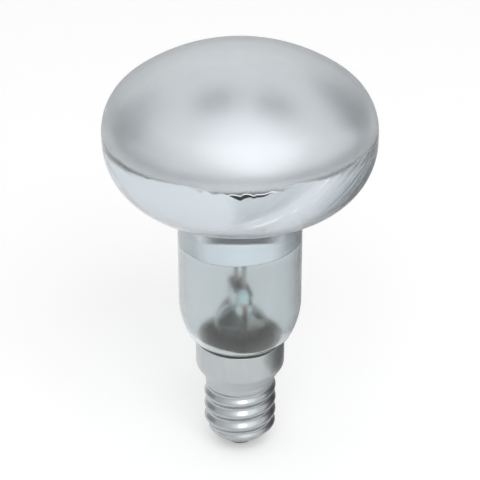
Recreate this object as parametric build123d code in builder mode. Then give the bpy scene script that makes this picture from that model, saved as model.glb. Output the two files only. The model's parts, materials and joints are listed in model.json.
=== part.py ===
from build123d import *
import math
import os

# Reflector bulb, cap down: millimetres, origin at the contact tip, +Z along the axis to the crown

# Blown glass bulb
bulb_diameter = 50.0
overall_length = 82.7
crown_rise = 15.2
rim_radius = 10.2
rim_band = 1.4
bowl_radius = 12.3
bowl_fillet = 6.0
neck_diameter = 23.2
shoulder_length = 8.95
shoulder_rise = 1.3
shoulder_overhang = 1.1
shoulder_fillet = 5.2
glass_wall = 0.7

# Mirror film inside the bowl and the top of the neck
film_thickness = 0.1
film_crown_drop = 0.4
film_neck_reach = 20.9

# Screw cap shell
shell_stand = 2.65
skirt_diameter = 17.0
skirt_length = 5.5
cone_length = 3.2
cone_fillet = 1.5
thread_diameter = 13.9
thread_depth = 0.8
thread_pitch = 2.822
thread_turns = 4.25
thread_start = -165.0
thread_run_in = 0.55
thread_run_out = 1.0
thread_sections = 34
nose_length = 1.9
nose_taper = 0.9
lip_length = 0.4
lip_turn = 0.4
lip_cover = 0.45
shell_wall = 0.3

# Capping cement and the glass seal inside the skirt
cement_gap = 0.8
cement_recess = 0.35
cement_depth = 3.4
seal_depth = 2.6

# Insulator, centre contact and solder
insulator_rise = 0.2
insulator_edge = 0.25
contact_diameter = 5.2
contact_thickness = 0.45
contact_chamfer = 0.1
contact_margin = 0.3
eyelet_diameter = 2.0
eyelet_bore = 1.2
eyelet_stand = 0.3
solder_diameter = 4.4
solder_height = 0.25
side_solder_radius = 0.9

# Glass stem and exhaust tube
stem_diameter = 9.8
flare_height = 3.6
stem_tube_length = 3.05
press_neck = 3.2
press_length = 5.0
press_width = 8.4
press_thickness = 3.4
exhaust_diameter = 2.5
exhaust_bore = 1.5
exhaust_socket = 0.6
exhaust_tail = 9.65
mount_turn = 110.0

# Leads through the press
lead_spacing = 5.2
seal_wire_diameter = 0.5
seal_wire_top = 0.5
seal_wire_tail = 2.4
inner_lead_diameter = 0.6
inner_lead_rise = 4.0
inner_lead_upright = 5.0
inner_lead_tail = 1.6
outer_lead_diameter = 0.3
lead_bend = 1.2
lead_clearance = 0.02
lead_drop = 1.2
eyelet_lead_in = 3.0

# Filament and its supports
filament_drop = 4.1
filament_span = 15.4
filament_diameter = 0.9
support_bow = 4.4
support_spread = 8.2
support_spacing = 3.0
support_diameter = 0.35
support_depth = 3.0
support_rise = 6.0
support_upright = 3.0
support_sweep = -240.0
support_clearance = 0.12

# Sizes that follow from those above
bulb_radius = bulb_diameter / 2
neck_radius = neck_diameter / 2
rim_height = overall_length - crown_rise
bowl_height = rim_height - rim_band
film_crown_height = rim_height - film_crown_drop
film_neck_height = bowl_height - film_neck_reach
skirt_radius = skirt_diameter / 2
skirt_bore = skirt_radius - shell_wall
waist_radius = skirt_bore - cement_gap
thread_swing = thread_depth / 2
thread_mean = thread_diameter / 2 - thread_swing
thread_bore = thread_mean - thread_swing - shell_wall
contact_top = solder_height + contact_thickness
insulator_seat = shell_stand + shell_wall
thread_bottom = shell_stand + lip_length
thread_top = thread_bottom + thread_turns * thread_pitch
nose_top = thread_bottom + nose_length
nose_radius = thread_mean - nose_taper
nose_bore = thread_bore - nose_taper
lip_bore = nose_bore - lip_cover
insulator_top = nose_top + insulator_rise
skirt_bottom = thread_top + cone_length
cap_height = skirt_bottom + skirt_length
cement_bottom = cap_height - cement_depth
waist_height = cap_height - cement_recess
shoulder_height = cap_height + shoulder_length
seal_bottom = cap_height - seal_depth
seal_radius = waist_radius - glass_wall
stem_radius = stem_diameter / 2
stem_bore = stem_radius - glass_wall
flare_top = seal_bottom + flare_height
stem_tube_height = flare_top + stem_tube_length
press_bottom = stem_tube_height + press_neck
press_top = press_bottom + press_length
exhaust_radius = exhaust_diameter / 2
exhaust_top = press_bottom + exhaust_socket
exhaust_tip_height = seal_bottom - exhaust_tail
lead_offset = lead_spacing / 2
seal_wire_bottom = press_bottom - seal_wire_tail
filament_height = bowl_height - filament_drop
filament_reach = filament_span / 2
support_place = support_spacing / 2
support_reach = support_spread / 2
filament_slope = math.atan2(support_bow, filament_reach - support_reach)
mount = Plane.XY.rotated((0, 0, mount_turn))

os.makedirs("parts", exist_ok=True)


# Bulb outline turned about the axis, pulled in evenly by the inset
def bulb_form(inset):
    bowl_centre = bulb_radius - bowl_radius
    bowl_foot = bowl_height - math.sqrt(bowl_radius**2 - (bowl_centre - neck_radius) ** 2)
    crown_drop = (bulb_radius - rim_radius) ** 2 / (overall_length - rim_radius - rim_height)
    crown_centre = (overall_length - rim_radius + rim_height - crown_drop) / 2
    crown_radius = overall_length - crown_centre
    rim_angle = math.atan2(rim_height - crown_centre, bulb_radius - rim_radius)
    rim_end = (crown_radius * math.cos(rim_angle), crown_centre + crown_radius * math.sin(rim_angle))
    foot = (skirt_radius + shoulder_overhang, cap_height + shoulder_rise)
    with BuildPart() as form:
        with BuildSketch(Plane.XZ) as outline:
            with BuildLine():
                Polyline((0, seal_bottom), (waist_radius, seal_bottom), (waist_radius, waist_height), foot)
                TangentArc((neck_radius, shoulder_height), foot, tangent=(0, -1))
                Line((neck_radius, shoulder_height), (neck_radius, bowl_foot))
                TangentArc((bulb_radius, bowl_height), (neck_radius, bowl_foot), tangent=(0, -1))
                Line((bulb_radius, bowl_height), (bulb_radius, rim_height))
                TangentArc((bulb_radius, rim_height), rim_end, tangent=(0, 1))
                RadiusArc(rim_end, (0, overall_length), -crown_radius)
                Line((0, overall_length), (0, seal_bottom))
            make_face()
            fillet(outline.vertices().sort_by_distance((neck_radius, bowl_foot))[0], bowl_fillet)
            fillet(outline.vertices().sort_by_distance(foot)[0], shoulder_fillet)
            mirror(about=Plane.YZ)
            offset(amount=-inset, kind=Kind.INTERSECTION, mode=Mode.REPLACE)
            split(bisect_by=Plane.YZ, keep=Keep.TOP)
        revolve(axis=Axis.Z)
    return form.part


# Round wire along straight runs joined by tangent bends
def bent_wire(diameter, bend, *points):
    with BuildPart() as wire:
        with BuildLine(mount) as route:
            FilletPolyline(*points, radius=bend)
        with BuildSketch(Plane(route.line @ 0, z_dir=route.line % 0)):
            Circle(diameter / 2)
        sweep()
    return wire.part


# Straight round wire on the mount, from one height to another
def straight_wire(diameter, place, bottom, top):
    with BuildPart() as wire:
        with BuildSketch(mount.offset(bottom)):
            with Locations((place, 0)):
                Circle(diameter / 2)
        extrude(amount=top - bottom)
    return wire.part


# Glass envelope: blown shell, open at the seal
with BuildPart() as glass_envelope:
    add(bulb_form(0))
    add(bulb_form(glass_wall), mode=Mode.SUBTRACT)
    with Locations((0, 0, seal_bottom)):
        Cylinder(
            seal_radius,
            seal_depth - cement_recess,
            align=(Align.CENTER, Align.CENTER, Align.MIN),
            mode=Mode.SUBTRACT,
        )
glass_envelope.part.label = "glass_envelope"
export_step(glass_envelope.part, "parts/glass_envelope.step")

# Reflector film: lines the glass between the neck edge and the crown edge
with BuildPart() as reflector_film:
    add(bulb_form(glass_wall))
    add(bulb_form(glass_wall + film_thickness), mode=Mode.SUBTRACT)
    split(bisect_by=Plane.XY.offset(film_neck_height), keep=Keep.TOP)
    split(bisect_by=Plane.XY.offset(film_crown_height), keep=Keep.BOTTOM)
reflector_film.part.label = "reflector_film"
export_step(reflector_film.part, "parts/reflector_film.step")


# Cap shell: thread of eccentric circles that tapers into the lip, cone and skirt above, one bore through all
def thread_centre(turn):
    ease = min(turn / thread_run_in, (thread_turns - turn) / thread_run_out, 1.0)
    swing = thread_swing * ease * ease * (3 - 2 * ease)
    angle = math.radians(thread_start) + math.tau * turn
    return (swing * math.cos(angle), swing * math.sin(angle))


def thread_radius(turn):
    below = max(1 - turn * thread_pitch / nose_length, 0.0)
    return thread_mean - nose_taper * below**2


with BuildPart() as cap_shell:
    for section in range(thread_sections + 1):
        turn = thread_turns * section / thread_sections
        with BuildSketch(Plane.XY.offset(thread_bottom + turn * thread_pitch)):
            with Locations(thread_centre(turn)):
                Circle(thread_radius(turn))
    loft(ruled=True)
    with BuildSketch(Plane.XZ) as cap_outline:
        with BuildLine():
            lip_edge = (nose_radius - lip_turn, shell_stand)
            lip = TangentArc(lip_edge, (nose_radius, thread_bottom), tangent=(1, 0))
            Polyline(lip @ 1, (0, thread_bottom), (0, shell_stand), lip @ 0)
        make_face()
        with BuildLine():
            Polyline(
                (0, thread_top),
                (thread_mean, thread_top),
                (skirt_radius, skirt_bottom),
                (skirt_radius, cap_height),
                (0, cap_height),
                (0, thread_top),
            )
        make_face()
        fillet(cap_outline.vertices().sort_by_distance((skirt_radius, skirt_bottom))[0], cone_fillet)
    revolve(axis=Axis.Z)
    with BuildSketch(Plane.XZ) as bore_outline:
        with BuildLine():
            nose_bend = TangentArc((thread_bore, nose_top), (nose_bore, insulator_seat), tangent=(0, -1))
            Polyline(
                nose_bend @ 1,
                (lip_bore, insulator_seat),
                (lip_bore, shell_stand),
                (0, shell_stand),
                (0, cap_height),
                (skirt_bore, cap_height),
                (skirt_bore, skirt_bottom),
                (thread_bore, thread_top),
                nose_bend @ 0,
            )
        make_face()
        fillet(bore_outline.vertices().sort_by_distance((skirt_bore, skirt_bottom))[0], cone_fillet)
    revolve(axis=Axis.Z, mode=Mode.SUBTRACT)
cap_shell.part.label = "cap_shell"
export_step(cap_shell.part, "parts/cap_shell.step")

# Capping cement: ring between glass and skirt, grooved for the shell lead
shell_lead_place = skirt_bore - lead_clearance - outer_lead_diameter / 2
with BuildPart() as capping_cement:
    with BuildSketch(Plane.XY.offset(cement_bottom)):
        Circle(skirt_bore)
        Circle(waist_radius, mode=Mode.SUBTRACT)
    extrude(amount=waist_height - cement_bottom)
    with BuildSketch(mount.offset(cement_bottom)):
        with Locations((shell_lead_place, 0)):
            Circle(outer_lead_diameter / 2)
            Rectangle(cement_gap, outer_lead_diameter, align=(Align.MIN, Align.CENTER))
    extrude(amount=waist_height - cement_bottom, mode=Mode.SUBTRACT)
capping_cement.part.label = "capping_cement"
export_step(capping_cement.part, "parts/capping_cement.step")

# Insulator: pressed glass that fills the tapered cap end, bored for the eyelet
with BuildPart() as insulator:
    with BuildSketch(Plane.XZ):
        with BuildLine():
            insulator_bend = TangentArc((thread_bore, nose_top), (nose_bore, insulator_seat), tangent=(0, -1))
            Polyline(
                insulator_bend @ 1,
                (lip_bore, insulator_seat),
                (lip_bore, shell_stand - insulator_edge),
                (contact_diameter / 2 + contact_margin, contact_top),
                (eyelet_diameter / 2, contact_top),
                (eyelet_diameter / 2, insulator_top),
                (thread_bore, insulator_top),
                insulator_bend @ 0,
            )
        make_face()
    revolve(axis=Axis.Z)
insulator.part.label = "insulator"
export_step(insulator.part, "parts/insulator.step")

# Centre contact: plate with an eyelet tube up through the insulator
with BuildPart() as centre_contact:
    with BuildSketch(Plane.XY.offset(solder_height)):
        Circle(contact_diameter / 2)
    extrude(amount=contact_thickness)
    chamfer(centre_contact.edges().group_by(Axis.Z)[0], contact_chamfer)
    with BuildSketch(Plane.XY.offset(contact_top)):
        Circle(eyelet_diameter / 2)
    extrude(amount=insulator_top + eyelet_stand - contact_top)
    with BuildSketch(Plane.XY.offset(solder_height)):
        Circle(eyelet_bore / 2)
    extrude(amount=insulator_top + eyelet_stand - solder_height, mode=Mode.SUBTRACT)
centre_contact.part.label = "centre_contact"
export_step(centre_contact.part, "parts/centre_contact.step")

# Contact solder: low dome on the plate
with BuildPart() as contact_solder:
    with BuildSketch(Plane.XZ):
        with BuildLine():
            dome = SagittaArc(
                (-solder_diameter / 2, solder_height),
                (solder_diameter / 2, solder_height),
                -solder_height,
            )
            Line(dome @ 0, dome @ 1)
        make_face()
        split(bisect_by=Plane.YZ)
    revolve(axis=Axis.Z)
contact_solder.part.label = "contact_solder"
export_step(contact_solder.part, "parts/contact_solder.step")

# Side solder: drop over the skirt rim and the end of the shell lead
with BuildPart() as side_solder:
    with Locations(mount * Location((skirt_radius, 0, cap_height))):
        Sphere(side_solder_radius)
    with Locations((0, 0, cap_height)):
        Cylinder(
            skirt_radius,
            skirt_length,
            align=(Align.CENTER, Align.CENTER, Align.MAX),
            mode=Mode.SUBTRACT,
        )
    add(bulb_form(0), mode=Mode.SUBTRACT)
side_solder.part.label = "side_solder"
export_step(side_solder.part, "parts/side_solder.step")

# Glass stem: flare, tube and flattened press, hollow below the press, holes for what it holds
with BuildPart() as glass_stem:
    with BuildSketch(Plane.XZ):
        with BuildLine():
            flare_edge = (seal_radius, seal_bottom + glass_wall)
            flare = TangentArc((stem_radius, flare_top), flare_edge, tangent=(0, -1))
            Polyline(flare @ 1, (seal_radius, seal_bottom), (0, seal_bottom), (0, stem_tube_height))
            Polyline((0, stem_tube_height), (stem_radius, stem_tube_height), flare @ 0)
        make_face()
    revolve(axis=Axis.Z)
    with BuildSketch(mount.offset(stem_tube_height)):
        Circle(stem_radius)
    with BuildSketch(mount.offset(press_bottom)):
        Ellipse(press_width / 2, press_thickness / 2)
    loft()
    with BuildSketch(mount.offset(press_bottom)):
        Ellipse(press_width / 2, press_thickness / 2)
    extrude(amount=press_top - press_bottom)
    with BuildSketch(Plane.XZ):
        with BuildLine():
            hollow_edge = (seal_radius - glass_wall, seal_bottom)
            hollow = TangentArc((stem_bore, flare_top), hollow_edge, tangent=(0, -1))
            Polyline(
                hollow @ 0,
                (stem_bore, stem_tube_height),
                (exhaust_radius, press_bottom - exhaust_socket),
                (exhaust_radius, exhaust_top),
                (0, exhaust_top),
                (0, seal_bottom),
                hollow @ 1,
            )
        make_face()
    revolve(axis=Axis.Z, mode=Mode.SUBTRACT)
    with BuildSketch(mount.offset(stem_tube_height)):
        with Locations((-lead_offset, 0), (lead_offset, 0)):
            Circle(seal_wire_diameter / 2)
    extrude(amount=press_top - stem_tube_height, mode=Mode.SUBTRACT)
    with BuildSketch(mount.offset(press_top)):
        with Locations((-support_place, 0), (support_place, 0)):
            Circle(support_diameter / 2)
    extrude(amount=-support_depth, mode=Mode.SUBTRACT)
glass_stem.part.label = "glass_stem"
export_step(glass_stem.part, "parts/glass_stem.step")

# Exhaust tube: drawn off and sealed at its tip inside the cap
with BuildPart() as exhaust_tube:
    with BuildSketch(Plane.XY.offset(exhaust_tip_height + exhaust_radius)):
        Circle(exhaust_radius)
    extrude(amount=exhaust_top - exhaust_tip_height - exhaust_radius)
    with Locations((0, 0, exhaust_tip_height + exhaust_radius)):
        Sphere(exhaust_radius)
    with BuildSketch(Plane.XY.offset(exhaust_tip_height + exhaust_radius)):
        Circle(exhaust_bore / 2)
    extrude(amount=exhaust_top - exhaust_tip_height - exhaust_radius, mode=Mode.SUBTRACT)
exhaust_tube.part.label = "exhaust_tube"
export_step(exhaust_tube.part, "parts/exhaust_tube.step")

# Seal wires: copper-clad wires fused into the press
with BuildPart() as contact_seal_wire:
    add(straight_wire(seal_wire_diameter, -lead_offset, seal_wire_bottom, press_top + seal_wire_top))
contact_seal_wire.part.label = "contact_seal_wire"
export_step(contact_seal_wire.part, "parts/contact_seal_wire.step")

with BuildPart() as shell_seal_wire:
    add(straight_wire(seal_wire_diameter, lead_offset, seal_wire_bottom, press_top + seal_wire_top))
shell_seal_wire.part.label = "shell_seal_wire"
export_step(shell_seal_wire.part, "parts/shell_seal_wire.step")


# Inner leads: up from the press, spread, then turned in to clamp the filament end
def inner_lead(side):
    end_place = filament_reach + inner_lead_tail * math.cos(filament_slope)
    end_shift = -inner_lead_tail * math.sin(filament_slope)
    return bent_wire(
        inner_lead_diameter,
        lead_bend,
        (side * lead_offset, 0, press_top + seal_wire_top),
        (side * lead_offset, 0, press_top + inner_lead_rise),
        (side * end_place, end_shift, filament_height - inner_lead_upright),
        (side * end_place, end_shift, filament_height),
        (side * filament_reach, 0, filament_height),
    )


with BuildPart() as contact_inner_lead:
    add(inner_lead(-1))
contact_inner_lead.part.label = "contact_inner_lead"
export_step(contact_inner_lead.part, "parts/contact_inner_lead.step")

with BuildPart() as shell_inner_lead:
    add(inner_lead(1))
shell_inner_lead.part.label = "shell_inner_lead"
export_step(shell_inner_lead.part, "parts/shell_inner_lead.step")

# Contact outer lead: down past the exhaust tip and through the eyelet to the solder
with BuildPart() as contact_outer_lead:
    add(
        bent_wire(
            outer_lead_diameter,
            lead_bend,
            (-lead_offset, 0, seal_wire_bottom),
            (-lead_offset, 0, exhaust_tip_height),
            (0, 0, insulator_top + eyelet_lead_in),
            (0, 0, solder_height),
        )
    )
contact_outer_lead.part.label = "contact_outer_lead"
export_step(contact_outer_lead.part, "parts/contact_outer_lead.step")

# Shell outer lead: down under the seal, out to the skirt and up to its rim
with BuildPart() as shell_outer_lead:
    add(
        bent_wire(
            outer_lead_diameter,
            lead_bend,
            (lead_offset, 0, seal_wire_bottom),
            (lead_offset, 0, cement_bottom - lead_drop),
            (shell_lead_place, 0, cement_bottom - lead_drop),
            (shell_lead_place, 0, cap_height),
        )
    )
shell_outer_lead.part.label = "shell_outer_lead"
export_step(shell_outer_lead.part, "parts/shell_outer_lead.step")

# Filament: coil drawn as the round form it fills, in straight runs from lead to support to lead
with BuildPart() as filament:
    with BuildLine(mount.offset(filament_height)) as runs:
        Polyline(
            (-filament_reach, 0),
            (-support_reach, support_bow),
            (support_reach, support_bow),
            (filament_reach, 0),
        )
    with BuildSketch(Plane(runs.line @ 0, z_dir=runs.line % 0)):
        Circle(filament_diameter / 2)
    sweep(transition=Transition.RIGHT)
filament.part.label = "filament"
export_step(filament.part, "parts/filament.step")


# Filament support: wire set in the press, with an open loop round the filament
def support_wire(side):
    lean = Vector(side * (support_reach - support_place), support_bow, 0)
    loop_radius = (filament_diameter + support_diameter) / 2 + support_clearance
    upright = lean.length - loop_radius
    plane = mount * Plane((side * support_place, 0, 0), lean, Vector(lean.Y, -lean.X, 0))
    with BuildPart() as wire:
        with BuildLine(plane) as route:
            FilletPolyline(
                (0, press_top - support_depth),
                (0, press_top + support_rise),
                (upright, filament_height - support_upright),
                (upright, filament_height),
                radius=lead_bend,
            )
            CenterArc((lean.length, filament_height), loop_radius, 180, support_sweep)
        with BuildSketch(Plane(route.line @ 0, z_dir=route.line % 0)):
            Circle(support_diameter / 2)
        sweep()
    return wire.part


with BuildPart() as contact_side_support:
    add(support_wire(-1))
contact_side_support.part.label = "contact_side_support"
export_step(contact_side_support.part, "parts/contact_side_support.step")

with BuildPart() as shell_side_support:
    add(support_wire(1))
shell_side_support.part.label = "shell_side_support"
export_step(shell_side_support.part, "parts/shell_side_support.step")
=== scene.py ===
import bpy
import bmesh
import json
import math
from mathutils import Matrix, Vector, noise


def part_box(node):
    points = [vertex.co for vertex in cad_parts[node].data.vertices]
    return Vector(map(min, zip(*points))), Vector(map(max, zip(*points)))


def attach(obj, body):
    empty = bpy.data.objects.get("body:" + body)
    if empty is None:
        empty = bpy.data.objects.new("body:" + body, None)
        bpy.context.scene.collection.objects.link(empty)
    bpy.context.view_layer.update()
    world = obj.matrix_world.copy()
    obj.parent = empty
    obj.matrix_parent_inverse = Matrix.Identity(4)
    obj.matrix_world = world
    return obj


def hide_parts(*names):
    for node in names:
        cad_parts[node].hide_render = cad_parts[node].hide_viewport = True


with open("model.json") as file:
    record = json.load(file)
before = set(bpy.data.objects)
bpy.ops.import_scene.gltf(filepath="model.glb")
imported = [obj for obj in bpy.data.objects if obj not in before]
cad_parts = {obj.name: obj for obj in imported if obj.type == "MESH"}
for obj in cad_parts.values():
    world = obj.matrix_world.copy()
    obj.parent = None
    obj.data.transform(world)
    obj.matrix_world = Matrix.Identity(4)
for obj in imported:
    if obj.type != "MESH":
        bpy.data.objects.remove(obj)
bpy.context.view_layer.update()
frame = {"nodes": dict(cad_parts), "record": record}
mm = 0.001  # sizes below are millimetres, the scene is metres
weld = 0.002  # points closer than this become one
print("frame loaded:", len(frame["nodes"]), "nodes")


# Drawing and turning


class Lathe:  # a pen that draws half a section in the XZ plane and then turns it about Z
    def __init__(self, x, z, skin=0.0):
        self.bm = bmesh.new()
        self.layer = self.bm.verts.layers.float.new("skin")  # 1 on the outer skin of a wall
        self.corners = []
        self.lift(x, z, skin)

    def lift(self, x, z, skin=0.0):  # start another stroke
        self.tip = self.bm.verts.new((x * mm, 0, z * mm))
        self.tip[self.layer] = skin

    def line(self, x, z, cuts=1, corner=0.0):  # the end may be cut back and rounded
        start = self.tip.co.copy()
        end = Vector((x * mm, 0, z * mm))
        for cut in range(1, cuts + 1):
            self.tip = bmesh.ops.extrude_vert_indiv(self.bm, verts=[self.tip])["verts"][0]
            self.tip.co = start.lerp(end, cut / cuts)
        if corner:
            self.corners.append((self.tip, corner))

    def arc(self, x, z, degrees, steps):  # swing the tip about a centre, anticlockwise if positive
        spun = bmesh.ops.spin(
            self.bm, geom=[self.tip], cent=(x * mm, 0, z * mm), axis=(0, -1, 0),
            angle=math.radians(degrees), steps=steps,
        )
        self.tip = spun["geom_last"][0]

    def turn(self, steps):
        for corner, reach in self.corners:
            bmesh.ops.bevel(
                self.bm, geom=[corner], offset=reach * mm, offset_type="OFFSET", affect="VERTICES",
                segments=6, profile=0.5, material=-1,
            )
        bmesh.ops.spin(
            self.bm, geom=self.bm.verts[:] + self.bm.edges[:], cent=(0, 0, 0), axis=(0, 0, 1),
            angle=math.tau, steps=steps, use_merge=True,
        )
        bmesh.ops.remove_doubles(self.bm, verts=self.bm.verts, dist=weld * mm)
        bmesh.ops.recalc_face_normals(self.bm, faces=self.bm.faces)
        return self.bm


def smooth(low, high, value):  # soft step from 0 to 1
    t = min(max((value - low) / (high - low), 0.0), 1.0)
    return t * t * (3 - 2 * t)


def bell(value, middle, spread, power=2):  # 1 in the middle, falling away on both sides
    return math.exp(-(((value - middle) / spread) ** power))


def polar(co):  # radius and height in mm, and the angle from the front, positive to the right
    return math.hypot(co.x, co.y) / mm, co.z / mm, math.atan2(co.x, -co.y)


def setRadius(vert, radius):
    flat = Vector((vert.co.x, vert.co.y, 0)).normalized() * radius * mm
    vert.co.x = flat.x
    vert.co.y = flat.y


def addObject(name, bm, finish):
    mesh = bpy.data.meshes.new(name)
    bm.to_mesh(mesh)
    bm.free()
    mesh.materials.append(finish)
    thing = bpy.data.objects.new(name, mesh)
    bpy.context.scene.collection.objects.link(thing)
    return thing


def makePiece(name, bm, finish, slot, *nodes, sharp=40):
    piece = addObject(name, bm, finish)
    piece.data.shade_smooth()
    piece.data.set_sharp_from_angle(angle=math.radians(sharp))
    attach(piece, "root")
    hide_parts(*nodes)
    print("piece", name, len(piece.data.polygons), "faces")


# Shader maths


class Value:  # a socket that can be added, multiplied and so on
    def __init__(self, finish, socket):
        self.finish = finish
        self.socket = socket

    def maths(self, operation, first, second):
        return self.finish.add("ShaderNodeMath", {"operation": operation}, {0: first, 1: second})

    def __add__(self, other):
        return self.maths("ADD", self, other)

    def __radd__(self, other):
        return self.maths("ADD", other, self)

    def __sub__(self, other):
        return self.maths("SUBTRACT", self, other)

    def __rsub__(self, other):
        return self.maths("SUBTRACT", other, self)

    def __mul__(self, other):
        return self.maths("MULTIPLY", self, other)

    def __rmul__(self, other):
        return self.maths("MULTIPLY", other, self)

    def __truediv__(self, other):
        return self.maths("DIVIDE", self, other)

    def __or__(self, other):  # the larger of two masks
        return self.maths("MAXIMUM", self, other)


class Finish:  # a material, or the world, and its node tree
    def __init__(self, name, blocks=bpy.data.materials, place="Object"):
        self.block = blocks.new(name)
        self.block.use_nodes = True
        self.tree = self.block.node_tree
        self.tree.nodes.clear()
        self.place = self.add("ShaderNodeTexCoord", out=place)

    def add(self, kind, settings=None, sockets=None, out=0):
        node = self.tree.nodes.new(kind)
        for key, setting in (settings or {}).items():
            setattr(node, key, setting)
        for key, value in (sockets or {}).items():
            if isinstance(value, Value):
                self.tree.links.new(value.socket, node.inputs[key])
            else:
                node.inputs[key].default_value = value
        return Value(self, node.outputs[out])

    def axis(self, name):  # one object coordinate in mm
        return self.add("ShaderNodeSeparateXYZ", {}, {0: self.place}, name) / mm

    def length(self, vector):
        return self.add("ShaderNodeVectorMath", {"operation": "LENGTH"}, {0: vector}, "Value")

    def noise(self, size, detail=2.0, rough=0.5, stretch=(1, 1, 1), warp=0.0):  # size of a blotch in mm
        place = self.add("ShaderNodeMapping", {}, {"Vector": self.place, "Scale": stretch})
        sockets = {"Scale": 1 / (size * mm), "Detail": detail, "Roughness": rough, "Distortion": warp}
        return self.add("ShaderNodeTexNoise", {}, {"Vector": place, **sockets})

    def grain(self, lengths, lean):  # streaks of these lengths in mm, leaning up to the right by some degrees
        scale = [size * mm for size in lengths]
        sockets = {"Vector": self.place, "Rotation": (0, math.radians(lean), 0), "Scale": scale}
        place = self.add("ShaderNodeMapping", {"vector_type": "TEXTURE"}, sockets)
        streaks = {"Scale": 1.0, "Detail": 3.0, "Distortion": 0.4}
        return self.add("ShaderNodeTexNoise", {}, {"Vector": place, **streaks})

    def attribute(self, name):
        return self.add("ShaderNodeAttribute", {"attribute_name": name}, out="Fac")

    def ray(self, kind):
        return self.add("ShaderNodeLightPath", out=f"Is {kind} Ray")

    def frontFace(self):
        return 1 - self.add("ShaderNodeNewGeometry", out="Backfacing")

    def step(self, value, low, high, start=0.0, end=1.0):
        settings = {"interpolation_type": "SMOOTHSTEP"}
        sockets = {"Value": value, "From Min": low, "From Max": high, "To Min": start, "To Max": end}
        return self.add("ShaderNodeMapRange", settings, sockets)

    def fall(self, value, low, high, start=1.0):
        return self.step(value, low, high, start, 0.0)

    def window(self, value, opens, closes):  # 1 between two fades
        return self.step(value, *opens) * self.fall(value, *closes)

    def blend(self, mask, first, second):  # of two colours
        return self.add("ShaderNodeMix", {"data_type": "RGBA"}, {0: mask, 6: first, 7: second}, 2)

    def mix(self, mask, first, second):  # of two shaders
        return self.add("ShaderNodeMixShader", {}, {0: mask, 1: first, 2: second})

    def bump(self, height, depth, strength=1.0, normal=None):  # depth in mm
        sockets = {"Height": height, "Distance": depth * mm, "Strength": strength}
        if normal:
            sockets["Normal"] = normal
        return self.add("ShaderNodeBump", {}, sockets)

    def shader(self, **sockets):
        named = {key.replace("_", " "): value for key, value in sockets.items()}
        return self.add("ShaderNodeBsdfPrincipled", {}, named)

    def letLampsThrough(self, surface, tint):  # lamps light what is behind the glass
        clear = self.add("ShaderNodeBsdfTransparent", {}, {"Color": tint})
        return self.mix(self.ray("Shadow"), surface, clear)

    def done(self, surface, kind="Material"):
        output = self.tree.nodes.new("ShaderNodeOutput" + kind)
        self.tree.links.new(surface.socket, output.inputs["Surface"])
        return self.block


# Bulb glass: one blown wall, frosted over the crown

bulb = {
    "crownRise": 15.2, "rimRadius": 10.2, "rimBand": 1.4, "bowlRadius": 12.3, "bowlFillet": 6.0,
    "neckRadius": 11.6, "shoulderTop": 32.7, "footRadius": 9.6, "footHeight": 25.04, "footRound": 1.1,
    "waistRadius": 7.4, "waistTop": 23.4, "wall": 0.7, "columns": 192,
    "neckCuts": 10, "filletSteps": 12, "bowlSteps": 36, "bandCuts": 4, "crownSteps": 24,
    "shoulderSteps": 14, "ior": 1.5, "tint": (0.90, 0.94, 0.97, 1), "neckTint": (0.775, 0.82, 0.835, 1),
    "darkeningTint": (0.66, 0.69, 0.71, 1), "lampTint": (0.9, 0.92, 0.92, 1),
    "ragged": 0.5, "frostFade": (-0.35, 0.3), "smokeFade": (0.2, 3.2, 0.7),  # above the film's edge
    # painted shade by how edge on the glass is seen, and the mask at both ends
    "limb": (0.5, 1.0, 0.0, 0.35), "limbEdge": (0.66, 0.9, 0.0, 0.8),
    "milkFade": (0.42, 0.72, 0.3, 1.0),
    "neckFade": (44.0, 47.0), "fogFade": (25.0, 30.0), "sealTop": 26.5, "sealTilt": 0.16, "sealFade": 0.6,
    "gloss": 0.012, "smearRough": 0.02, "frostRough": 0.19, "cloudRough": 0.06, "innerRough": 0.3,
    "fogRough": 0.2, "sealRough": 0.1, "milkRough": 0.5, "frostDepth": 0.02,
    "frostSilver": 0.55, "sealSilver": 0.4, "sealSmear": 0.3,
}
glassLow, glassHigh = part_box("glass_envelope")
bulb["radius"] = glassHigh.x / mm
bulb["top"] = glassHigh.z / mm
bulb["foot"] = glassLow.z / mm
bulb["rimHeight"] = bulb["top"] - bulb["crownRise"]
bulb["bowlHeight"] = bulb["rimHeight"] - bulb["rimBand"]


def bowlStart():  # where the fillet leaves the neck, and how far it swings before it meets the bowl
    across = bulb["neckRadius"] + bulb["bowlFillet"] - (bulb["radius"] - bulb["bowlRadius"])
    reach = bulb["bowlRadius"] + bulb["bowlFillet"]
    drop = math.sqrt(reach**2 - across**2)
    return bulb["bowlHeight"] - drop, math.degrees(math.atan2(drop, across))


def drawBowl(pen, inset, topHeight):  # from the neck round the fillet and the bowl to the rim band
    start, swing = bowlStart()
    pen.line(bulb["neckRadius"] - inset, start, bulb["neckCuts"])
    pen.arc(bulb["neckRadius"] + bulb["bowlFillet"], start, -swing, bulb["filletSteps"])
    pen.arc(bulb["radius"] - bulb["bowlRadius"], bulb["bowlHeight"], swing, bulb["bowlSteps"])
    pen.line(bulb["radius"] - inset, topHeight, bulb["bandCuts"])


def drawCrown(pen):  # from the rim band over the rim to the pole
    rimCentre = bulb["radius"] - bulb["rimRadius"]
    span = bulb["crownRise"] - bulb["rimRadius"]
    crownCentre = bulb["rimHeight"] + (span - rimCentre**2 / span) / 2
    swing = math.degrees(math.atan2(bulb["rimHeight"] - crownCentre, rimCentre))
    pen.arc(rimCentre, bulb["rimHeight"], swing, bulb["crownSteps"])
    pen.arc(0, crownCentre, 90 - swing, bulb["crownSteps"])


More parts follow.
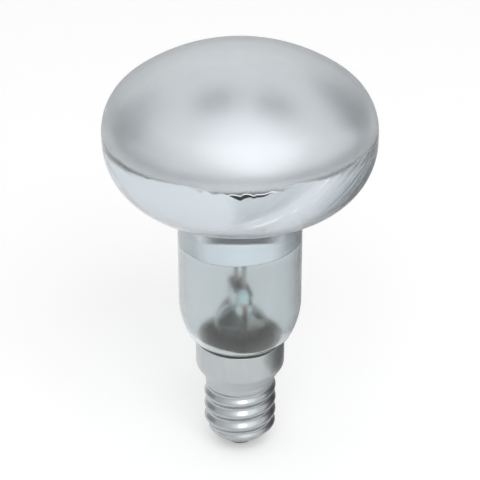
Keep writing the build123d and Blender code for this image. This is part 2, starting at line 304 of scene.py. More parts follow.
def drawShoulder(pen, inset):  # from the foot round the shoulder to the neck
    rise = bulb["shoulderTop"] - bulb["footHeight"]
    step = bulb["neckRadius"] - bulb["footRadius"]
    radius = (rise**2 + step**2) / (2 * step)
    swing = math.asin(rise / radius)
    centre = bulb["neckRadius"] - radius
    footRadius = centre + (radius - inset) * math.cos(swing)
    footHeight = bulb["shoulderTop"] - (radius - inset) * math.sin(swing)
    pen.line(footRadius, footHeight, corner=bulb["footRound"])
    pen.arc(centre, bulb["shoulderTop"], math.degrees(swing), bulb["shoulderSteps"])


def bulbGlassMesh():
    inner = bulb["waistRadius"] - bulb["wall"]
    pen = Lathe(inner, bulb["foot"], 1.0)
    pen.line(bulb["waistRadius"], bulb["foot"])
    pen.line(bulb["waistRadius"], bulb["waistTop"])
    drawShoulder(pen, 0)
    drawBowl(pen, 0, bulb["rimHeight"])
    drawCrown(pen)
    pen.lift(inner, bulb["foot"])
    pen.line(inner, bulb["waistTop"] + bulb["wall"] / 2)
    drawShoulder(pen, bulb["wall"])
    drawBowl(pen, bulb["wall"], bulb["rimHeight"])
    drawCrown(pen)
    bm = pen.turn(bulb["columns"])
    filmEdge = bm.verts.layers.float.new("filmEdge")
    for vert in bm.verts:
        vert[filmEdge] = crownEdge(polar(vert.co)[2])  # the frost starts at the edge of the lining
    return bm


def bulbGlassFinish():
    f = Finish("bulb_glass")
    height = f.axis("Z")
    outside = f.attribute("skin")
    ragged = (f.noise(3.0, 3) - 0.5) * bulb["ragged"]
    aboveFilm = height + ragged - f.attribute("filmEdge")
    crown = f.step(aboveFilm, *bulb["frostFade"])
    frost = crown * outside
    facing = f.add("ShaderNodeLayerWeight", {}, {"Blend": 0.5}, "Facing")  # 1 where the glass is seen edge on
    limb = f.step(facing, *bulb["limb"]) | f.step(facing, *bulb["limbEdge"])
    darkening = crown * (limb | f.fall(aboveFilm, *bulb["smokeFade"]))  # darker by the film's edge, and painted shade towards the rim where the glass is seen edge on
    neck = f.fall(height, *bulb["neckFade"])
    fog = (1 - outside) * neck * f.step(height, *bulb["fogFade"])  # haze on the inside of the neck
    sealTop = bulb["sealTop"] - f.axis("X") * bulb["sealTilt"]
    seal = outside * f.frontFace() * f.fall(height + ragged - sealTop, -bulb["sealFade"], 0.0)
    cloud = f.noise(14.0, 2)
    smear = f.noise(9.0, 3)
    roughness = bulb["gloss"] + bulb["smearRough"] * smear
    roughness += frost * (bulb["frostRough"] + bulb["cloudRough"] * cloud)
    roughness += bulb["innerRough"] * (crown - frost)
    roughness += bulb["fogRough"] * fog + bulb["sealRough"] * seal
    # painted shade: the darkening tint also darkens the frost where it is seen edge on
    tint = f.blend(darkening, f.blend(neck, bulb["tint"], bulb["neckTint"]), bulb["darkeningTint"])
    bump = f.bump(f.noise(0.35, 4, 0.6) * frost, bulb["frostDepth"])
    # silvery haze on the frost, and the bright edge of the thick seal
    metal = bulb["frostSilver"] * frost + seal * (bulb["sealSilver"] + bulb["sealSmear"] * smear)
    glass = dict(Base_Color=tint, Metallic=metal, Normal=bump, IOR=bulb["ior"], Transmission_Weight=1.0)
    sheer = f.shader(Roughness=roughness, **glass)
    milky = f.shader(Roughness=bulb["milkRough"], **glass)
    skimmed = frost * f.step(facing, *bulb["milkFade"])  # the frost turns milky where it is seen edge on
    return f.done(f.letLampsThrough(f.mix(skimmed, sheer, milky), bulb["lampTint"]))


# Mirror lining: bright film on the inside of the bowl and the top of the neck

lining = {
    "sunk": 0.03, "thickness": 0.08, "columns": 256, "edgeEase": 3.0, "frontFade": (-0.6, -0.2),
    "crownEdge": 68.35, "crownTilt": 0.45, "crownLumps": 5, "dip": 0.45, "dipTurn": 3.0, "dipWidth": 18.0,
    "neckEdge": 45.35, "neckTilt": 0.4, "neckLumps": 2, "ragged": 0.2,
    "edgeWidth": 0.12, "frontDarkTurn": 1.5, "frontDarkWidth": 17.0,
    "sootSpots": (  # turn, spread, mm
        (-62, 24, 1.3), (42, 13, 0.9), (80, 9, 1.2), (150, 35, 0.6), (-140, 30, 0.7),
    ),
    "sootFade": (0.3, 1.4), "sootRagged": 0.8, "sootCover": 0.85,
    "smearFade": (-0.15, 0.05, 0.8), "smearRagged": 0.3,
    "leaves": ((0.6, 5.6, 0.95), (7.0, 7.0, 0.62)),  # black below the crease: turn, reach, mm
    "leafTop": (0.0, 0.08), "leafFoot": (-0.15, 0.0),
    "creaseGlint": 0.75, "creaseWander": 1.3, "creaseFade": (0.003, 0.012), "creaseEnds": (-0.5, 0.1),
    "band": (59.5, 0.11, 0.0027),  # height in front, slope and bend by degrees
    "bandFade": (0.3, 6.0), "bandSpan": ((-14, 4), (34, 50)), "wobbleTurn": 16, "wobbleHeight": 2.4,
    "wedgeFade": (0.3, 2.2), "wedgeSpan": ((-7, 2), (16, 46)), "rightSpan": ((22, 60), (80, 130)),
    # height over the band, width, first and last degree
    "streaks": ((0.0, 0.35, 2, 20), (-0.3, 0.3, 19, 27), (1.6, 0.25, 4, 10), (0.5, 0.3, 30, 40)),
    "streakFade": (0.2, 2.0), "streakEase": 5, "streakWander": 2.0,
    "grain": (12, 12, 1.4), "grainLean": -36, "grainDepth": 0.15,
    "foldTurn": 1.0, "foldReach": 42.0, "foldEnds": (0.15, 1.0), "foldWobble": 0.4, "foldSag": 1.7,
    "foldFoot": (49.9, 50.7), "foldTop": (52.0, 54.0), "sidesTop": (52.5, 55.0), "sidesTurn": (700, 2600),
    "bowlFade": (54.0, 57.0), "neckFade": (48.5, 50.5),
    "paleFade": (57.5, 60.5, 0.9), "hazeFade": (57.0, 61.0, 0.28), "crinkleFade": (0.2, 2.2),
    "bowlColour": (0.68, 0.715, 0.735, 1), "neckColour": (0.58, 0.64, 0.665, 1),
    "sideShadeColour": (0.44, 0.475, 0.485, 1), "wedgeShadeColour": (0.49, 0.52, 0.53, 1),
    "bandReflectionColour": (0.74, 0.77, 0.785, 1), "paintedLightColour": (0.92, 0.935, 0.945, 1),
    "foldShadeColour": (0.06, 0.065, 0.065, 1), "sootAndPatchColour": (0.10, 0.105, 0.11, 1),
    "leafColour": (0.012, 0.012, 0.014, 1), "creaseGlintColour": (0.95, 0.96, 0.97, 1),
    "wedgeCover": 0.75, "bandCover": 0.6, "bandCloud": 0.4, "gleamCover": 0.8, "foldCover": 0.9,
    "gloss": 0.08, "cloudRough": 0.05, "sootRough": 0.25, "bandRough": 0.12,
    "rippleDepth": 0.12, "crinkleDepth": 0.10,
}


def crownEdge(turn):  # height of the film's upper edge at an angle from the front
    place = Vector((math.cos(turn), math.sin(turn), 0)) * lining["crownLumps"]
    ragged = (noise.noise(place) + 0.5 * noise.noise(place * 2.7)) * lining["ragged"]
    dip = lining["dip"] * bell(math.degrees(turn), lining["dipTurn"], lining["dipWidth"])
    return lining["crownEdge"] + lining["crownTilt"] * math.sin(turn) - dip + ragged


def neckEdge(turn):
    place = Vector((math.cos(turn), math.sin(turn), 2)) * lining["neckLumps"]
    ragged = noise.noise(place) * lining["ragged"]
    return lining["neckEdge"] + lining["neckTilt"] * math.sin(turn) + ragged


def sootWidth(degrees):  # the film's upper edge is burnt to a varying width
    width = lining["edgeWidth"]
    for middle, spread, extra in lining["sootSpots"]:
        width += extra * bell(degrees, middle, spread)
    return width


def wallRadius(height, inset):  # inside of the bulb near its widest place
    if height > bulb["rimHeight"]:
        return bulb["radius"] - bulb["rimRadius"] + math.sqrt(
            (bulb["rimRadius"] - inset) ** 2 - (height - bulb["rimHeight"]) ** 2
        )
    below = max(bulb["bowlHeight"] - height, 0)
    return bulb["radius"] - bulb["bowlRadius"] + math.sqrt((bulb["bowlRadius"] - inset) ** 2 - below**2)


def liningMesh():
    inset = bulb["wall"] - lining["sunk"]  # no air between film and glass
    highEdge, lowEdge, ease = lining["crownEdge"], lining["neckEdge"], lining["edgeEase"]
    pen = Lathe(bulb["neckRadius"] - inset, lowEdge)
    drawBowl(pen, inset, highEdge)
    bm = pen.turn(lining["columns"])
    margin = bm.verts.layers.float.new("margin")  # mm from the edge, counted double at the neck
    soot = bm.verts.layers.float.new("soot")
    frontDark = bm.verts.layers.float.new("frontDark")
    around = bm.verts.layers.float.new("turn")
    front = bm.verts.layers.float.new("front")  # 0 at the back, where the angle jumps
    for vert in bm.verts:
        height, turn = polar(vert.co)[1:]
        degrees = math.degrees(turn)
        upper = smooth(bulb["bowlHeight"] - ease, highEdge, height)
        lower = 1 - smooth(lowEdge, lowEdge + ease, height)
        moved = height + upper * (crownEdge(turn) - highEdge) + lower * (neckEdge(turn) - lowEdge)
        vert.co.z = moved * mm
        if upper > 0:
            setRadius(vert, wallRadius(moved, inset))
        vert[margin] = min(crownEdge(turn) - moved, 2 * (moved - neckEdge(turn)))
        vert[soot] = sootWidth(degrees) if upper > 0 else lining["edgeWidth"]
        vert[frontDark] = upper * bell(degrees, lining["frontDarkTurn"], lining["frontDarkWidth"], 4)
        vert[around] = degrees
        vert[front] = smooth(*lining["frontFade"], math.cos(turn))
    bmesh.ops.solidify(bm, geom=bm.faces[:], thickness=lining["thickness"] * mm)
    return bm


def liningFinish():
    f = Finish("mirror_lining")
    names = ("margin", "soot", "frontDark", "turn", "front")
    margin, soot, frontDark, turn, front = (f.attribute(name) for name in names)
    height = f.axis("Z")
    bowl = f.step(height, *lining["bowlFade"])
    neck = f.fall(height, *lining["neckFade"])
    fine = f.noise(0.9, 3, 0.6) - 0.5
    wobble = f.noise(4.5, 3, 0.6) - 0.5
    cloud = f.noise(11.0, 2)
    leaning = f.grain(lining["grain"], lining["grainLean"]) - 0.5

    # painted reflection: a bright band that climbs to the right, grey painted shade in a wedge over it and
    # bright painted streaks along it
    across = turn + wobble * lining["wobbleTurn"]
    level, slope, bend = lining["band"]
    above = height + wobble * lining["wobbleHeight"] - level - across * (across * bend + slope)
    bright = front * f.fall(above * above, *lining["bandFade"]) * f.window(across, *lining["bandSpan"])
    wedgeShade = front * f.step(above, *lining["wedgeFade"]) * f.window(across, *lining["wedgeSpan"])
    right = front * f.window(across, *lining["rightSpan"]) * bowl
    # painted reflection: each streak is a bright line put into the film's colour
    gleam, ease = 0.0, lining["streakEase"]
    for offset, width, start, end in lining["streaks"]:
        away = (above - offset + leaning * lining["streakWander"]) / width
        span = front * f.window(across, (start, start + ease), (end - ease, end))
        gleam = f.fall(away * away, *lining["streakFade"]) * span | gleam

    # burnt edge, a darker patch at the front, and black leaves under a crease with a painted glint that
    # wanders
    charred = margin / soot + fine * lining["sootRagged"]
    burnt = f.fall(charred, *lining["sootFade"]) * lining["sootCover"]
    wander = f.noise(1.2, 1, 0.5, (1, 1, 0.02)) - 0.5
    below = margin - lining["creaseGlint"] - wander * lining["creaseWander"]
    leaf = -1.0
    for middle, reach, depth in lining["leaves"]:
        fromLeaf = (turn - middle) / reach
        leaf = (1 - fromLeaf * fromLeaf) * depth | leaf
    ahead = front * bowl
    black = ahead * f.step(below, *lining["leafTop"]) * f.fall(below - leaf, *lining["leafFoot"])
    # painted highlight: a bright glint along the crease
    creaseGlint = ahead * f.fall(below * below, *lining["creaseFade"]) * f.step(leaf, *lining["creaseEnds"])
    smear = frontDark * f.fall(below + fine * lining["smearRagged"], *lining["smearFade"])

    # painted shade: a dark band where the bowl leaves the neck, and grey painted shade to both sides of it
    side = (turn - lining["foldTurn"]) / lining["foldReach"]
    foldFoot = height + wobble * lining["foldWobble"] + side * side * lining["foldSag"]
    foldShade = front * f.step(foldFoot, *lining["foldFoot"]) * f.fall(height, *lining["foldTop"])
    foldShade = foldShade * f.fall(side * side, *lining["foldEnds"])
    sideShade = front * f.fall(height, *lining["sidesTop"]) * f.step(turn * turn, *lining["sidesTurn"])
    # painted light: the lower bowl is made paler
    pale = f.fall(height, *lining["paleFade"]) * bowl
    layers = {
        "neckColour": neck, "sideShadeColour": sideShade,
        "wedgeShadeColour": (right | wedgeShade) * (lining["wedgeCover"] + leaning),
        "bandReflectionColour": bright * (lining["bandCover"] + cloud * lining["bandCloud"]),
        "paintedLightColour": gleam * lining["gleamCover"] | pale, "foldShadeColour": foldShade * lining["foldCover"],
        "sootAndPatchColour": burnt | smear, "leafColour": black, "creaseGlintColour": creaseGlint,
    }
    colour = lining["bowlColour"]
    for name, mask in layers.items():
        colour = f.blend(mask, colour, lining[name])
    roughness = lining["gloss"] + lining["cloudRough"] * cloud + lining["sootRough"] * burnt
    roughness += lining["bandRough"] * (right | bright)
    roughness += f.fall(height, *lining["hazeFade"]) * bowl
    crinkle = f.noise(1.1, 3, 0.6) * f.fall(margin, *lining["crinkleFade"])
    ripple = f.noise(9.0, 2, 0.5, (1, 1, 1.6), 0.6)
    normal = f.bump(leaning * right, lining["grainDepth"], 0.6)
    normal = f.bump(crinkle, lining["crinkleDepth"], 0.8, normal)
    normal = f.bump(ripple, lining["rippleDepth"], 0.6, normal)
    return f.done(f.shader(Base_Color=colour, Metallic=1.0, Roughness=roughness, Normal=normal))


makePiece("bulb_glass", bulbGlassMesh(), bulbGlassFinish(), "bulb_glass", "glass_envelope")
makePiece("mirror_lining", liningMesh(), liningFinish(), "mirror_film", "reflector_film")


# Screw cap: drawn sheet with a rolled thread, a cone and a plain skirt

cap = {
    "stand": 2.65, "lipLength": 0.4, "lipTurn": 0.4, "lipBore": 4.5, "noseLength": 1.9, "noseTaper": 0.9,
    "threadRadius": 6.55, "swing": 0.4, "pitch": 2.822, "turns": 4.25, "start": -165.0,
    "runIn": 0.55, "runOut": 1.0, "coneLength": 3.2, "coneRound": 0.42,
    "skirtRadius": 8.5, "skirtLength": 5.5, "rimRound": 0.08, "wall": 0.3, "bore": 5.85,
    "columns": 160, "rowsPerTurn": 20, "lipSteps": 8, "rimSteps": 4,
    "dull": (0.42, 0.445, 0.455, 1), "bright": (0.58, 0.605, 0.62, 1),
    "cloudShare": 0.4, "drawnShare": 0.5, "drawnLevel": 0.2,
    "gloss": 0.06, "rolledRough": 0.06, "cloudRough": 0.05, "skirtRough": 0.04,
    "rolledDepth": 0.015, "drawnDepth": 0.02, "dentDepth": 0.06,
}
cap["threadFoot"] = cap["stand"] + cap["lipLength"]
cap["threadTop"] = cap["threadFoot"] + cap["turns"] * cap["pitch"]
cap["skirtFoot"] = cap["threadTop"] + cap["coneLength"]
cap["top"] = cap["skirtFoot"] + cap["skirtLength"]


def threadRadius(height):  # mean radius, drawn in towards the lip
    below = max(1 - (height - cap["threadFoot"]) / cap["noseLength"], 0)
    return cap["threadRadius"] - cap["noseTaper"] * below**2


def threadSwing(height, turn):  # how far the rolled thread stands out of its mean radius
    along = (height - cap["threadFoot"]) / cap["pitch"]
    ease = smooth(0, 1, min(along / cap["runIn"], (cap["turns"] - along) / cap["runOut"]))
    crest = math.radians(cap["start"] + 90) + math.tau * along
    return cap["swing"] * ease * math.cos(turn - crest)


def screwCapMesh():
    foot, top, rim = cap["threadFoot"], cap["top"], cap["rimRound"]
    nose = threadRadius(foot)
    pen = Lathe(cap["lipBore"], cap["stand"], 1.0)
    pen.line(nose - cap["lipTurn"], cap["stand"])
    pen.arc(nose - cap["lipTurn"], foot, 90, cap["lipSteps"])
    for row in range(1, int(cap["turns"] * cap["rowsPerTurn"]) + 1):
        height = foot + row / cap["rowsPerTurn"] * cap["pitch"]
        pen.line(threadRadius(height), height)
    pen.line(cap["skirtRadius"], cap["skirtFoot"], corner=cap["coneRound"])
    pen.line(cap["skirtRadius"], top - rim)
    pen.arc(cap["skirtRadius"] - rim, top - rim, 90, cap["rimSteps"])
    pen.lift(cap["skirtRadius"] - rim, top)
    pen.line(cap["skirtRadius"] - cap["wall"], top)
    pen.line(cap["skirtRadius"] - cap["wall"], cap["skirtFoot"])
    pen.line(cap["bore"], cap["threadTop"])
    pen.line(cap["bore"], foot + cap["noseLength"])
    pen.line(cap["lipBore"] + cap["lipTurn"], cap["stand"] + cap["wall"])
    pen.line(cap["lipBore"], cap["stand"] + cap["wall"])
    pen.line(cap["lipBore"], cap["stand"])
    bm = pen.turn(cap["columns"])
    for vert in bm.verts:
        if vert[pen.layer] > 0.5:
            radius, height, turn = polar(vert.co)
            setRadius(vert, radius + threadSwing(height, turn))
    return bm


def capMetalFinish():
    f = Finish("cap_metal")
    drawn = f.noise(1.4, 3, 0.6, (1, 1, 0.2))  # upright marks of the drawing die
    rolled = f.noise(0.5, 3, 0.6, (1, 1, 9))
    cloud = f.noise(3.0, 3)
    skirt = f.step(f.axis("Z"), cap["threadTop"], cap["skirtFoot"])
    worn = cloud * cap["cloudShare"] + (drawn - cap["drawnLevel"]) * skirt * cap["drawnShare"]
    colour = f.blend(worn, cap["dull"], cap["bright"])
    roughness = cap["gloss"] + cap["rolledRough"] * rolled + cap["cloudRough"] * cloud
    roughness += cap["skirtRough"] * skirt
    normal = f.bump(f.noise(2.2, 2), cap["dentDepth"], 0.6)
    normal = f.bump(drawn * skirt, cap["drawnDepth"], 0.6, normal)
    normal = f.bump(rolled, cap["rolledDepth"], 0.6, normal)
    return f.done(f.shader(Base_Color=colour, Metallic=1.0, Roughness=roughness, Normal=normal))


makePiece("screw_cap", screwCapMesh(), capMetalFinish(), "cap_metal", "cap_shell", sharp=50)


# Glass stem: flared tube, squeezed flat where it holds the wires

stem = {
    "flareRadius": 6.6, "flareTop": 24.74, "radius": 4.9, "wall": 0.7, "tubeTop": 27.79, "turn": 110.0,
    "pressFoot": 30.99, "pressWidth": 8.4, "pressThick": 3.4, "pressDome": 1.5, "boxy": 3.2,
    "exhaustRadius": 1.3, "exhaustTop": 31.6, "boreTop": 0.4, "boreFoot": 0.6,
    "columns": 96, "flareSteps": 10, "tubeCuts": 3, "squeezeCuts": 10, "pressCuts": 6, "domeCuts": 12,
    "boreCuts": 8, "ior": 1.5, "gloss": 0.01, "smearRough": 0.03, "milkRough": 0.2, "rippleDepth": 0.12,
    "tint": (0.90, 0.98, 0.99, 1), "lowTubeTint": (0.50, 0.50, 0.46, 1),
    "glintTint": (0.74, 0.98, 0.98, 1), "lampTint": (0.9, 0.92, 0.92, 1),
    "smokeFade": (-3.4, -1.4), "milkFoot": (2.0, 3.2),  # from the foot of the press
    "milkEnd": (-3.2, -2.0, 0.8), "milkAside": 0.7, "milkSides": (0.4, 1.4),
}
stemLow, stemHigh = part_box("glass_stem")
stem["foot"] = stemLow.z / mm
stem["top"] = stemHigh.z / mm


def drawFlare(pen, inset):  # from the spread foot in to the tube
    out = stem["flareRadius"] - stem["radius"]
    rise = stem["flareTop"] - stem["foot"]
    radius = (out**2 + rise**2) / (2 * out)
    swing = math.degrees(math.asin(rise / radius))
    pen.line(stem["flareRadius"] - inset, stem["foot"])
    pen.arc(stem["radius"] - inset + radius, stem["flareTop"], -swing, stem["flareSteps"])


def squeeze(vert):  # round tube to flat press
    radius, height, turn = polar(vert.co)
    flat = smooth(stem["tubeTop"], stem["pressFoot"], height)
    power = 2 / (2 + (stem["boxy"] - 2) * flat)
    wide = (1 + flat * (stem["pressWidth"] / 2 / stem["radius"] - 1)) * radius
    thick = (1 + flat * (stem["pressThick"] / 2 / stem["radius"] - 1)) * radius
    across, along = math.sin(turn), -math.cos(turn)
    vert.co.x = math.copysign(abs(across) ** power, across) * wide * mm
    vert.co.y = math.copysign(abs(along) ** power, along) * thick * mm


def stemMesh():
    pen = Lathe(stem["flareRadius"] - stem["wall"], stem["foot"], 1.0)
    drawFlare(pen, 0)
    pen.line(stem["radius"], stem["tubeTop"], stem["tubeCuts"])
    pen.line(stem["radius"], stem["pressFoot"], stem["squeezeCuts"])
    pen.line(stem["radius"], stem["top"] - stem["pressDome"], stem["pressCuts"])
    for cut in range(1, stem["domeCuts"] + 1):
        rise = math.radians(90 * cut / stem["domeCuts"])
        pen.line(stem["radius"] * math.cos(rise), stem["top"] + stem["pressDome"] * (math.sin(rise) - 1))
    pen.lift(stem["flareRadius"] - stem["wall"], stem["foot"])
    drawFlare(pen, stem["wall"])
    pen.line(stem["radius"] - stem["wall"], stem["tubeTop"] - stem["boreTop"], stem["tubeCuts"])
    pen.line(stem["exhaustRadius"], stem["pressFoot"] - stem["boreFoot"], stem["boreCuts"])
    pen.line(stem["exhaustRadius"], stem["exhaustTop"])
    pen.line(0, stem["exhaustTop"])
    bm = pen.turn(stem["columns"])
    for vert in bm.verts:
        if vert[pen.layer] > 0.5:
            squeeze(vert)
    spin = Matrix.Rotation(math.radians(stem["turn"]), 3, "Z")
    bmesh.ops.rotate(bm, verts=bm.verts, cent=(0, 0, 0), matrix=spin)
    return bm


def clearGlassFinish():
    f = Finish("clear_glass")
    abovePress = f.axis("Z") - stem["pressFoot"]
    smear = f.noise(2.0, 2)
    normal = f.bump(f.noise(2.5, 2), stem["rippleDepth"], 0.5)
    upperTube = f.step(abovePress, *stem["smokeFade"])  # the tube below the press is darker
    glass = f.shader(
        Base_Color=f.blend(upperTube, stem["lowTubeTint"], stem["tint"]), IOR=stem["ior"], Transmission_Weight=1.0,
        Roughness=stem["gloss"] + stem["smearRough"] * smear, Normal=normal,
    )
    turn = math.radians(stem["turn"])
    along = f.axis("X") * math.cos(turn) + f.axis("Y") * math.sin(turn)
    aside = f.axis("Y") * math.cos(turn) - f.axis("X") * math.sin(turn) - stem["milkAside"]
    # painted highlight: a pale cyan patch on the press stands in for its glint
    milky = f.fall(along, *stem["milkEnd"]) * f.fall(aside * aside, *stem["milkSides"])
    milky = milky * f.step(abovePress + smear, *stem["milkFoot"])  # painted highlight at only one end of the press
    glintPatch = f.shader(Base_Color=stem["glintTint"], Roughness=stem["milkRough"], Normal=normal)
    return f.done(f.letLampsThrough(f.mix(milky, glass, glintPatch), stem["lampTint"]))


clearGlass = clearGlassFinish()
makePiece("flared_stem", stemMesh(), clearGlass, "clear_glass", "glass_stem", sharp=60)


# Finishes of the small pieces that keep their solids

wires = {
    "copper_wire": {
        "dull": (0.40, 0.20, 0.14, 1), "bright": (0.64, 0.36, 0.27, 1), "rough": 0.3,
        "burnt": (0.06, 0.05, 0.045, 1), "burntFade": (-0.5, 1.5, 0.9),  # dark outside the press
    },
    "nickel_wire": {"dull": (0.28, 0.27, 0.26, 1), "bright": (0.5, 0.49, 0.47, 1), "rough": 0.3},
    "support_metal": {"dull": (0.22, 0.22, 0.23, 1), "bright": (0.42, 0.42, 0.43, 1), "rough": 0.35},
    "tungsten": {"dull": (0.12, 0.12, 0.125, 1), "bright": (0.22, 0.22, 0.23, 1), "rough": 0.4},
    # painted shade: the contact is coloured dark for the shade it lies in at the tip
    "contact_brass": {"dull": (0.10, 0.09, 0.07, 1), "bright": (0.20, 0.18, 0.14, 1), "rough": 0.35},
}
casts = {  # grain is the size in mm, detail and roughness of the noise
    "cement": {
        "grain": (0.4, 4, 0.65), "dull": (0.10, 0.085, 0.05, 1), "bright": (0.24, 0.21, 0.13, 1),
        "rough": 0.8, "spread": 0.15, "depth": 0.1,
    },
    "black_glass": {
        "grain": (1.5, 3, 0.6), "dull": (0.012, 0.012, 0.014, 1), "bright": (0.04, 0.04, 0.045, 1),
        "rough": 0.15, "spread": 0.2, "depth": 0.05,
    },
    # painted shade: the solder is coloured dark for the shade it lies in at the tip
    "solder": {
        "grain": (0.7, 3, 0.6), "dull": (0.12, 0.12, 0.125, 1), "bright": (0.30, 0.30, 0.31, 1),
        "rough": 0.3, "spread": 0.25, "depth": 0.05, "metal": 1.0,
    },
}


def wireFinish(name, dull, bright, rough, burnt=None, burntFade=None):
    f = Finish(name)
    drawn = f.noise(0.3, 3, 0.6, (6, 6, 1))
    colour = f.blend(drawn, dull, bright)
    if burnt:
        abovePress = f.axis("Z") - stem["pressFoot"]
        colour = f.blend(f.fall(abovePress + drawn, *burntFade), colour, burnt)
    roughness = rough + f.noise(0.6, 2) * 0.15
    normal = f.bump(drawn, 0.01, 0.5)
    return f.done(f.shader(Base_Color=colour, Metallic=1.0, Roughness=roughness, Normal=normal))


def castFinish(name, grain, dull, bright, rough, spread, depth, metal=0.0):
    f = Finish(name)
    grit = f.noise(*grain)
    colour = f.blend(grit, dull, bright)
    roughness = rough + grit * spread
    normal = f.bump(grit, depth)
    return f.done(f.shader(Base_Color=colour, Metallic=metal, Roughness=roughness, Normal=normal))


finishes = {"clear_glass": clearGlass}
for name, look in wires.items():
    finishes[name] = wireFinish(name, **look)
for name, look in casts.items():
    finishes[name] = castFinish(name, **look)
for subpart in frame["record"]["subparts"]:
    if subpart["material_slot"] in finishes:
        materials = frame["nodes"][subpart["node"]].data.materials
        materials.clear()
        materials.append(finishes[subpart["material_slot"]])
print("finishes on the kept solids:", len(finishes))


# Studio: floor, world, key lamp, cards and camera

studio = {
    "floorSize": 4.0, "floorGlow": 0.33, "floorFade": (0.14, 0.5), "floorDepth": 0.45, "floorRough": 0.9,
    "floorPale": ((0.80, 0.80, 0.80, 1), (0.84, 0.84, 0.84, 1)),
    "floorShade": ((0.60, 0.60, 0.60, 1), (0.64, 0.64, 0.64, 1)),
    "ambient": 0.64, "wallFoot": 0.66, "wallTop": 0.92, "wallRise": 0.22, "aim": (0, 0, 0.05),
    "keyTurn": 11.0, "keyRise": 49.0, "keyDistance": 0.75, "keySize": (0.60, 0.40), "keyPower": 2.0,
}
white = (1, 1, 1, 1)


def floorFinish():
    f = Finish("pale_floor")
    speck = f.noise(2.0, 2)
    lit = f.shader(Base_Color=f.blend(speck, *studio["floorPale"]), Roughness=studio["floorRough"])
    dim = f.shader(Base_Color=f.blend(speck, *studio["floorShade"]), Roughness=studio["floorRough"])
    glow = f.add("ShaderNodeEmission", {}, {"Color": white, "Strength": studio["floorGlow"]})
    near = f.add("ShaderNodeAddShader", {}, {0: lit, 1: glow})
    stretch = (1, studio["floorDepth"], 1)
    flat = f.add("ShaderNodeVectorMath", {"operation": "MULTIPLY"}, {0: f.place, 1: stretch})
    # far to the sides the floor lies in shade, which only reflections see
    mask = f.step(f.length(flat), *studio["floorFade"]) * (1 - f.ray("Camera"))
    return f.done(f.mix(mask, near, dim))


def cardFinish(radius, shade, cover, core):  # dense in the middle, clear towards its edge and from behind
    f = Finish("studio_card")
    clear = f.add("ShaderNodeBsdfTransparent")
    glow = f.add("ShaderNodeEmission", {}, {"Color": white, "Strength": shade})
    mask = f.fall(f.length(f.place) / radius, core, 1.0, cover) * f.frontFace()
    return f.done(f.mix(mask, clear, glow))


def addToStage(name, bm, finish):
    thing = addObject(name, bm, finish)
    return thing


def makeFloor():
    bm = bmesh.new()
    bmesh.ops.create_grid(bm, x_segments=1, y_segments=1, size=studio["floorSize"] / 2)
    addToStage("floor", bm, floorFinish())


def towards(turn, rise):  # unit vector from the object, by angle from the front and height
    turn, rise = math.radians(turn), math.radians(rise)
    return Vector((math.sin(turn) * math.cos(rise), -math.cos(turn) * math.cos(rise), math.sin(rise)))


cards = {  # seen only in glass and metal: place and radius in mm, brightness, and how dense
    "soft_key": {
        "place": (100, -450, 590), "radius": 720, "shade": 1.55, "cover": 1.0, "core": 0.3, "depth": 1.2,
    },
    "card_by_cap": {
        "place": (2, -35, 40), "radius": 11, "shade": 3.2, "cover": 1.0, "core": 0.7,
        "facing": (0, 0, 10), "outside": True,
    },
    "flag_right_back": {"place": (350, 300, 215), "radius": 260, "shade": 0.05, "cover": 0.76},
    "flag_left": {"place": (-420, 220, 235), "radius": 300, "shade": 0.08, "cover": 0.57},
    "flag_left_front": {"place": (-520, -90, 190), "radius": 330, "shade": 0.2, "cover": 0.24},
    "flag_high_left": {"place": (-98, 128, 520), "radius": 122, "shade": 0.04, "cover": 0.72},
    "flag_high_right": {"place": (140, 108, 512), "radius": 122, "shade": 0.04, "cover": 0.68},
    "flag_by_cap": {
        "place": (17, 24, 0.5), "radius": 44, "shade": 0.02, "cover": 0.55, "core": 0.15,
        "facing": (17, 24, 80), "outside": True,
    },
    "flag_beside_cap": {
        "place": (42, 14, 18), "radius": 62, "shade": 0.05, "cover": 0.85, "core": 0.05, "outside": True,
    },
    "flag_behind": {
        "place": (74, 84, 0.5), "radius": 125, "shade": 0.3, "cover": 0.6, "core": 0.0, "facing": (74, 84, 80),
    },
}


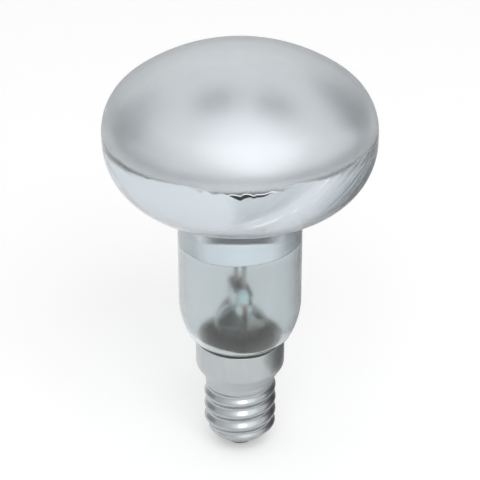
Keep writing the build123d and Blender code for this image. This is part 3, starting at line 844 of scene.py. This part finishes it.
def makeCard(name, place, radius, shade, cover, core=0.35, depth=1.0, facing=(0, 0, 50), outside=False):
    bm = bmesh.new()
    bmesh.ops.create_circle(bm, cap_ends=True, segments=48, radius=radius * mm)
    card = addToStage(name, bm, cardFinish(radius * mm, shade, cover, core))
    card.location = Vector(place) * mm
    card.scale.y = depth
    card.rotation_euler = (Vector(facing) - Vector(place)).to_track_quat("Z", "Y").to_euler()
    card.visible_camera = False
    card.visible_diffuse = False
    card.visible_shadow = False
    card.visible_transmission = not outside  # what lies behind glass need not see it


def makeWorld():  # white to the camera, grey walls in glass and metal, an even light elsewhere
    f = Finish("studio", bpy.data.worlds, "Generated")

    def paper(strength):
        return f.add("ShaderNodeBackground", {}, {"Color": white, "Strength": strength})

    rise = f.add("ShaderNodeSeparateXYZ", {}, {0: f.place}, "Z")
    walls = f.mix(f.step(rise, 0.0, studio["wallRise"]), paper(studio["wallFoot"]), paper(studio["wallTop"]))
    lit = f.mix(f.ray("Glossy") | f.ray("Transmission"), paper(studio["ambient"]), walls)
    bpy.context.scene.world = f.done(f.mix(f.ray("Camera"), lit, paper(1.0)), "World")


def makeKey():
    lamp = bpy.data.lights.new("key", "AREA")
    lamp.shape = "RECTANGLE"
    lamp.size, lamp.size_y = studio["keySize"]
    lamp.energy = studio["keyPower"]
    thing = bpy.data.objects.new("key", lamp)
    aim = towards(studio["keyTurn"], studio["keyRise"])
    thing.location = Vector(studio["aim"]) + aim * studio["keyDistance"]
    thing.rotation_euler = aim.to_track_quat("Z", "Y").to_euler()
    thing.visible_glossy = False  # metal and glass see the soft card instead
    thing.visible_transmission = False
    bpy.context.scene.collection.objects.link(thing)


view = {"distance": 352.28, "tilt": 29.449, "aim": 44.632, "focal": 1894.2, "frame": 480, "sensor": 36.0}


def makeCamera():
    camera = bpy.data.cameras.new("camera")
    camera.sensor_width = view["sensor"]
    camera.lens = view["focal"] * view["sensor"] / view["frame"]
    camera.clip_start = 0.01
    thing = bpy.data.objects.new("camera", camera)
    thing.location = Vector((0, 0, view["aim"] * mm)) + towards(0, view["tilt"]) * view["distance"] * mm
    thing.rotation_euler = (math.pi / 2 - math.radians(view["tilt"]), 0, 0)
    bpy.context.scene.collection.objects.link(thing)
    bpy.context.scene.camera = thing


makeFloor()
makeWorld()
makeKey()
for name, card in cards.items():
    makeCard(name, **card)
makeCamera()
bpy.context.scene.view_settings.view_transform = "Standard"
print("studio ready")
